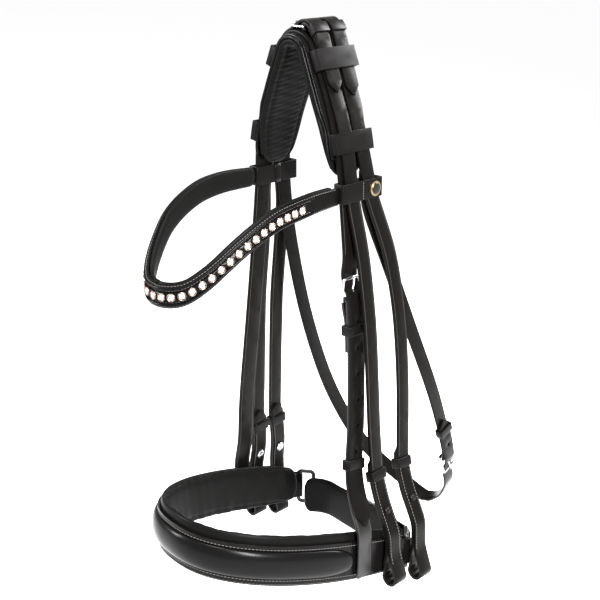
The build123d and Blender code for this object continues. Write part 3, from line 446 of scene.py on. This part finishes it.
def along(curve, s, off):
    """Point and outward direction at distance s, moved off outward."""
    full, length = curve
    for i in range(len(full) - 1):
        if s <= length[i + 1] or i == len(full) - 2:
            h = length[i + 1] - length[i]
            u = (s - length[i]) / h
            (x0, y0), (x1, y1) = full[i], full[i + 1]
            dx, dy = (x1 - x0) / h, (y1 - y0) / h
            out = Vector((-dy, dx, 0))
            return Vector((x0 + dx * u * h, y0 + dy * u * h, 0)) + out * off, out


BROW = super_curve(50.0, 181.0, 2.4, 6.0, -23.0, False)
BROW_LEN = BROW[1][-1]
# y, height of its middle line on the near (1) and off (-1) side; then y, half height
BROW_Z = {1: [(-176, -157), (-170, -156), (-164, -154), (-156, -149), (-146, -142), (-129, -129),
              (-110, -117), (-87, -106.5), (-53, -100), (-30, -98), (10, -96), (40, -96)],
          -1: [(-176, -157), (-170, -152), (-164, -145), (-151, -131), (-130, -112), (-97, -98),
               (-67, -94), (-30, -95), (10, -96), (40, -96)]}
BROW_H = [(-176, 9.2), (-130, 9.0), (-60, 8.2), (-23, 7.2), (10, 7.2)]


def brow_at(s, off):
    """Point, outward direction and half height of the browband at distance s, off outside it."""
    p, out = along(BROW, s, off)
    base, _ = along(BROW, s, 0.0)
    p.z = smooth(BROW_Z[1 if base.x >= 0 else -1], base.y) - DROP
    return p, out, smooth(BROW_H, base.y)


def sweep_band(at, s0, s1, count, off, half_of, half_t, power, ends, dz=0.0, turn=None, sides=28,
               swell=None):
    """A rounded strip that follows a band; off may change along it, and swell makes its face uneven."""
    ends_k = rounded_ends(count, abs(s1 - s0), ends)
    rings = []
    for i in range(count):
        s = s0 + (s1 - s0) * i / (count - 1)
        p, out, h = at(s, off(s) if callable(off) else off)
        k = ends_k[i]
        c = p + Vector((0, 0, dz(h) if callable(dz) else dz))
        rings.append(oval(c, UP, out, half_of(h) * (0.4 + 0.6 * k),
                          half_t * (0.5 + 0.5 * k), power, sides,
                          (lambda u, v, s=s: swell(s, u, v)) if swell else None))
    if turn:
        rings = [[turn(p) for p in r] for r in rings]
    return tube(rings)


pad = sweep_band(brow_at, 2, BROW_LEN - 2, 220, -3.45, lambda h: h + 1.2, 2.25, 3.2, 6.0)
brow_pad = mesh_object("browband_pad", *pad, SOFT, HEAD, "soft_lining")
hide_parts("browband_lining")

# raised edges either side of the crystals, and their end caps
PITCH, STONES, CHANNEL = 7.6, 35, 4.2        # of the stones, and half height of their channel
reach = PITCH * (STONES - 1) / 2 + 7.5
for word, sign in (("upper", 1), ("lower", -1)):
    roll = sweep_band(brow_at, BROW_LEN / 2 - reach - 7, BROW_LEN / 2 + reach + 7, 240, 1.6,
                      lambda h: (h - CHANNEL) / 2 - 1.1, 1.5, 2.3, 8.0,
                      lambda h, sign=sign: sign * (h + CHANNEL) / 2)
    mesh_object(f"browband_roll_{word}", *roll, SMOOTH, HEAD, "padded_leather")

total = ([], [])
for sign in (1, -1):
    for where, trim in (("edge", 3.0), ("channel", BROW_LEN / 2 - reach - 3)):
        pts, ns = [], []
        for i in range(400):
            p, out, h = brow_at(trim + (BROW_LEN - 2 * trim) * i / 399, 1.15)
            pts.append(p + Vector((0, 0, sign * (h - 0.75 if where == "edge" else CHANNEL + 0.5))))
            ns.append(out)
        add(total, stitches(pts, ns, 2.6, 1.8, 0.26))
mesh_object("browband_stitching", *total, THREAD, HEAD, "padded_leather")


CUTS, STONE_R = 12, 2.62           # facets round a stone, and its radius
# the slots hold the painted lit, half-shade and shade tones; the girdle is always painted shade
LIT_FACET, PINK_HALF_SHADE, SHADED_FACET = range(3)       # the stones' material slots
# rows of a stone's corners: radius and height in shares of its radius, turn in shares of a facet
GEM_ROWS = [(1.0, -0.45, 0.0), (1.0, -0.12, 0.0), (0.80, 0.16, 0.5), (0.50, 0.34, 0.0)]


def gem(centre, side, out, turn):
    """A cut stone: girdle, two rows of crown facets and a table, in painted light and shade tones that
    shift with turn.
    """
    verts = [p for k, h, shift in GEM_ROWS
             for p in circle(centre + out * (STONE_R * h), side, UP, STONE_R * k, CUTS, shift)]
    faces = [tuple(reversed(range(CUTS))), tuple(3 * CUTS + j for j in range(CUTS))]
    tones = [LIT_FACET, LIT_FACET]
    for i in range(3):
        for j in range(CUTS):
            a, b = i * CUTS + j, i * CUTS + (j + 1) % CUTS
            faces += [(a, b, b + CUTS), (a, b + CUTS, a + CUTS)]
            if i == 0:
                tones += [SHADED_FACET, SHADED_FACET]
            else:
                tones += [(LIT_FACET, PINK_HALF_SHADE, LIT_FACET, SHADED_FACET)[(j + turn) % 4],
                          (PINK_HALF_SHADE, LIT_FACET, LIT_FACET, LIT_FACET, SHADED_FACET)[(j + i + turn) % 5]]
    return verts, faces, tones


stones, foils, tones = ([], []), ([], []), []
for k in range(STONES):
    p, out, _ = brow_at(BROW_LEN / 2 + (k - (STONES - 1) / 2) * PITCH, 3.1)
    side = UP.cross(out).normalized()
    verts, faces, shades = gem(p, side, out, k)
    add(stones, (verts, faces))
    tones += shades
    add(foils, tube([circle(p + out * d, side, UP, r, 16) for r, d in ((2.6, -0.55), (2.3, -0.62))]))
gems = mesh_object("crystal_stones", *stones, STONE, HEAD, "crystal", flat=True)
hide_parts("crystals")
gems.data.materials.append(STONE_PAINTED_HALF_SHADE)
gems.data.materials.append(STONE_PAINTED_SHADE)
# each facet gets its painted light or shade tone
for polygon, tone in zip(gems.data.polygons, tones):
    polygon.material_index = tone
mesh_object("crystal_foils", *foils, FOIL, HEAD, "crystal_setting", flat=True)

# ------------------------------------------------------------------ noseband
NOSE = super_curve(83.8, 156.0, 2.4, 0.0, 38.0, True)
NOSE_LEN = NOSE[1][-1]
NOSE_Z, NOSE_Z_Y, TILT = -392.0, -140.0, 0.224      # its height, at that y, and its fall per mm of y
NOSE_H = [(-180, 19), (-40, 19), (10, 17), (45, 12.5), (120, 12.5)]      # y, half height
TURN, TURN_Y = math.radians(-8), -30.0


def turned(p):
    """The noseband hangs turned 8 degrees about a vertical axis through (0, -30)."""
    c, s = math.cos(TURN), math.sin(TURN)
    x, y = p.x, p.y - TURN_Y
    return Vector((x * c - y * s, x * s + y * c + TURN_Y, p.z))


def nose_at(s, off):
    """Point, outward direction and half height of the noseband at distance s, before its turn."""
    p, out = along(NOSE, s, off)
    base, _ = along(NOSE, s, 0.0)
    p.z = NOSE_Z - TILT * (base.y - NOSE_Z_Y) - DROP
    return p, out, smooth(NOSE_H, base.y)


PAST = 18.0          # the lining covers the folded ends of the leather by this much


def nose_pad_off(s):
    """The lining lies against the leather, and steps inwards over its folded ends."""
    e = min(s, NOSE_LEN - s)
    return -4.8 - 2.4 * (1 - smooth([(PAST - 2, 0), (PAST + 8, 1)], e))


def puckers(s, u, v):
    """Shallow gathers along the lining, stronger near its edges."""
    if v > 0:
        return 0.0
    edge = smooth([(0.0, 0.25), (16.0, 0.6), (20.0, 1.0)], abs(u))
    wave = math.sin(0.21 * s + 0.8 * math.sin(0.047 * s)) + 0.6 * math.sin(0.53 * s + 1.3 + 0.05 * u)
    seam = 0.9 * math.exp(-((abs(u) - 18.2) / 1.1) ** 2)
    return 0.42 * edge * wave + seam


pad = sweep_band(nose_at, 1, NOSE_LEN - 1, 300, nose_pad_off, lambda h: h + 4.3, 3.5, 3.0, 9.0,
                 3.0, turned, 48, puckers)
nose_pad = mesh_object("noseband_pad", *pad, SOFT, HEAD, "soft_lining")
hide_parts("noseband_lining")
BOLSTER_TRIM = 46 + PAST             # from each end of the noseband
pad = sweep_band(nose_at, BOLSTER_TRIM, NOSE_LEN - BOLSTER_TRIM, 220, 2.0, lambda h: 13.0, 4.6, 1.9,
                 34.0, 1.2, turned, 36)
bolster = mesh_object("noseband_bolster_pad", *pad, SMOOTH, HEAD, "padded_leather")
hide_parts("noseband_bolster")

total = ([], [])
for sign, height, trim in ((1, 15.7, 4 + PAST), (-1, 14.0, 40 + PAST), (-1, 17.6, 4 + PAST)):
    pts, ns = [], []
    for i in range(420):
        p, out, h = nose_at(trim + (NOSE_LEN - 2 * trim) * i / 419, 1.3)
        pts.append(turned(p + Vector((0, 0, sign * min(height, h - 1.2)))))
        ns.append(turned(p + out) - turned(p))
    add(total, stitches(pts, ns, 3.2, 2.2, 0.3))
mesh_object("noseband_stitching", *total, THREAD, HEAD, "padded_leather")

# ------------------------------------------------------------------ chin pad
CRANK_Y = 60.0
CRANK_Z = NOSE_Z - TILT * (CRANK_Y - NOSE_Z_Y) - DROP
CORNER_X, CORNER_Y, CORNER_R = 38, 29, 26      # centres and radius of the cushion's two corners
BEND = 15                                      # stations round each corner
path = []
for i in range(BEND):
    a = math.radians(160 - 70 * i / (BEND - 1))
    path.append((-CORNER_X + CORNER_R * math.cos(a), CORNER_Y + CORNER_R * math.sin(a), a))
path += [(x, CORNER_Y + CORNER_R, math.pi / 2) for x in range(4 - CORNER_X, CORNER_X, 4)]
path += [(-x, y, math.pi - a) for x, y, a in reversed(path[:BEND])]
ks = rounded_ends(len(path), 120.0, 9.0)
rings = [[turned(q) for q in oval(Vector((x, y, CRANK_Z)), UP,
                                  Vector((math.cos(a), math.sin(a), 0)), 19 * (0.5 + 0.5 * k),
                                  3.3 * (0.5 + 0.5 * k), 2.8, 32)] for (x, y, a), k in zip(path, ks)]
chin = mesh_object("chin_cushion", *tube(rings), SOFT, "chin_slider", "soft_lining")
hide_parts("chin_pad")


def loop_ring(x, y, half_h, half_t):
    """An upright ring with nearly square corners round the crank strap, at x."""
    middle = Vector((x, y, CRANK_Z))
    return [turned(q) for q in oval(middle, UP, REARWARD, half_h, half_t, 20 / 3, 32)]


total = ([], [])
for x, y0, y1 in ((-46, 57.2, 65.4), (38, 58.0, 68.9)):
    mid, half = (y0 + y1) / 2, (y1 - y0) / 2
    outer = [loop_ring(x + dx, mid, 10.4 + grow, half + grow)
             for dx, grow in ((-3.5, -0.3), (-3.2, 0.0), (3.2, 0.0), (3.5, -0.3))]
    inner = [loop_ring(x + dx, mid + 0.1, 8.95, half - 1.3) for dx in (3.5, -3.5)]
    add(total, tube(outer + inner, closed=True))
mesh_object("chin_loops", *total, KEEPER, "chin_slider", "keeper_leather")

# ------------------------------------------------------------------ crease lines, with a painted highlight, and stitching on straps
# height, y of each strap's middle line on the near (1) and off (-1) side
NOSE_Y = {1: [(60, -13), (-48, -13), (-96, -10), (-150, -8), (-220, -5), (-300, -8), (-343, -15),
              (-392, -25), (-440, -26)],
          -1: [(60, -13), (-48, -13), (-96, -11), (-150, -13), (-220, -17), (-315, -20), (-360, -16),
               (-395, -10), (-440, -8.5)]}
FRONT_Y = {1: [(10, -10.6), (-48, -9.5), (-96, -7.5), (-153, 0), (-211, 3), (-300, 4.5),
               (-364, 5), (-470, 4)],
           -1: [(10, -10.6), (-48, -9.5), (-96, -7.5), (-150, -2), (-220, -1), (-333, 2.5),
                (-389, 8), (-470, 14)]}
REAR_Y = {1: [(10, 9.4), (-48, 8.0), (-96, 15), (-108, 18.5), (-159, 35), (-221, 43),
              (-298, 45), (-363, 40), (-475, 37)],
          -1: [(10, 9.4), (-48, 8.0), (-96, 14), (-131, 20), (-231, 21.5), (-327, 25),
               (-400, 34), (-475, 42)]}


def row(node, table, side, offset, z0, z1, inward=False, steps=220):
    """Points and normals of a row that runs down a strap, offset from its middle line."""
    pts, ns = [], []
    for i in range(steps + 1):
        z = z0 + (z1 - z0) * i / steps
        y = smooth(table, z)
        dy = (smooth(table, z + 1) - smooth(table, z - 1)) / 2
        k = math.hypot(1, dy)
        yy, zz = y + offset / k, z - offset * dy / k - DROP
        x0 = side * (20 if inward else 200)
        got = hit(node, (x0, yy, zz), (side if inward else -side, 0, 0))
        if got and got[0].x * side > 20 and (not pts or (got[0] - pts[-1]).length < 4):
            pts.append(got[0])
            ns.append(got[1])
    return pts, ns


CREASE_R = 0.28


def crease(total, pts, ns):
    """A pressed line: a thin rod, sunk a little into the leather."""
    if len(pts) > 3:
        add(total, rod_mesh([p - n * (CREASE_R * 0.35) for p, n in zip(pts, ns)], CREASE_R, 6))


# heights between which the cheek straps are creased, outside and inside, and stitched
CREASED = {False: (-92, -345), True: (-100, -330)}
STITCHED = (-347, -428)
lines, thread = ([], []), ([], [])
for which, table in (("front", FRONT_Y), ("rear", REAR_Y)):
    for side, word in SIDES:
        node = f"cheek_{which}_{word}"
        for e in (-5.9, 5.9):
            for inward in (False, True):
                crease(lines, *row(node, table[side], side, e, *CREASED[inward], inward))
        for e in (-6.0, 6.0):
            for inward in (False, True):
                pts, ns = row(node, table[side], side, e, *STITCHED, inward, 120)
                add(thread, stitches(pts, ns, 2.9, 2.0, 0.3))
for side, node, low in ((1, "noseband_headstrap", -148), (1, "noseband_hanger", -425),
                        (-1, "noseband_headstrap", -425)):
    for e in (-7.3, 7.3):
        top = -92 if node == "noseband_headstrap" else -196
        crease(lines, *row(node, NOSE_Y[side], side, e, top, low))
        if side == -1:
            crease(lines, *row(node, NOSE_Y[side], side, e, -100, low + 20, True))
# the pressed lines are real, their lighter colour is a painted highlight
mesh_object("crease_lines", *lines, CREASE_PAINTED_HIGHLIGHT, HEAD, "strap_leather")
mesh_object("strap_stitching", *thread, THREAD, HEAD, "strap_leather")

# each browband loop has a divider inside, and a row of stitches over it outside
LOOP_Y, LOOP_Z = 2.7, -96 - DROP
thread, bars = ([], []), ([], [])
for side, _ in SIDES:
    out = Vector((side, 0, 0))
    pts = [Vector((side * 55.75, LOOP_Y, LOOP_Z + 7.4 - 14.8 * i / 30)) for i in range(31)]
    add(thread, stitches(pts, [out] * 31, 2.2, 1.5, 0.26))
    add(bars, tube([oval(Vector((side * 44.6, LOOP_Y, LOOP_Z + 8.6 * t)), REARWARD, out, 3.4, 0.9,
                         3.0, 20) for t in (-1, -0.5, 0, 0.5, 1)]))
mesh_object("loop_stitching", *thread, THREAD, HEAD, "keeper_leather")
mesh_object("loop_dividers", *bars, KEEPER, HEAD, "keeper_leather")

# the badge: a metal ring with a plain dark disc
badge = NODES["loop_badge"].data
badge.materials.clear()
badge.materials.append(GOLD)
badge.set_sharp_from_angle(angle=math.radians(35))
centre = Vector((57.3, 17.5, -96.5 - DROP))
rings = [circle(centre + Vector((d, 0, 0)), REARWARD, UP, r, 40)
         for r, d in ((4.9, 0.0), (4.9, 0.12), (4.4, 0.3), (0.4, 0.42))]
mesh_object("badge_disc", *tube(rings), INK, HEAD, "badge")

# ------------------------------------------------------------------ floor, light and camera
FLOOR_GAP = 24                       # the bridle hangs this far above the floor
bpy.ops.mesh.primitive_plane_add(size=14, location=(0, 0, first_box[0].z - FLOOR_GAP * MM))
floor = bpy.context.object
floor.name = "floor"
floor.data.materials.append(material("pale_floor", (0.92, 0.92, 0.92), 0.9, specular=0.02))

world = bpy.data.worlds.new("studio")
bpy.context.scene.world = world
world.use_nodes = True
bg = world.node_tree.nodes["Background"]
bg.inputs["Color"].default_value = (1, 1, 1, 1)
bg.inputs["Strength"].default_value = 1.06


LIT = Vector((0, 0, -0.24))          # all lamps point here


def area(name, place, size, power):
    light = bpy.data.lights.new(name, "AREA")
    light.shape = "RECTANGLE"
    light.size, light.size_y = size
    light.energy = power
    light.spread = math.radians(70)
    ob = bpy.data.objects.new(name, light)
    bpy.context.scene.collection.objects.link(ob)
    ob.location = place
    ob.rotation_mode = "QUATERNION"
    ob.rotation_quaternion = (LIT - Vector(place)).to_track_quat("-Z", "Y")


area("key", (1.25, -0.55, 0.55), (0.25, 0.9), 21)
area("fill", (-1.1, -1.2, 0.35), (0.25, 0.9), 9)
area("top", (0.15, -0.35, 1.15), (0.5, 0.25), 4.5)
area("rim", (0.5, 1.3, 0.5), (0.25, 0.9), 7)

AZ, EL, DIST = 44.0, 18.8, 1037.1    # of the camera from what it looks at, in degrees and mm
LOOK_AT = Vector((-18.5, 4.0, -209.6 - DROP))
cam_data = bpy.data.cameras.new("photo_view")
cam_data.sensor_width = 36.0
cam_data.lens = 68.85
cam = bpy.data.objects.new("photo_view", cam_data)
bpy.context.scene.collection.objects.link(cam)
az, el = math.radians(AZ), math.radians(EL)
back = Vector((math.sin(az) * math.cos(el), -math.cos(az) * math.cos(el), math.sin(el)))
cam.location = (LOOK_AT + back * DIST) * MM
cam.rotation_mode = "QUATERNION"
cam.rotation_quaternion = (-back).to_track_quat("-Z", "Y")
cam_data.clip_start, cam_data.clip_end = 0.01, 50
bpy.context.scene.camera = cam
bpy.context.scene.view_settings.view_transform = "Standard"
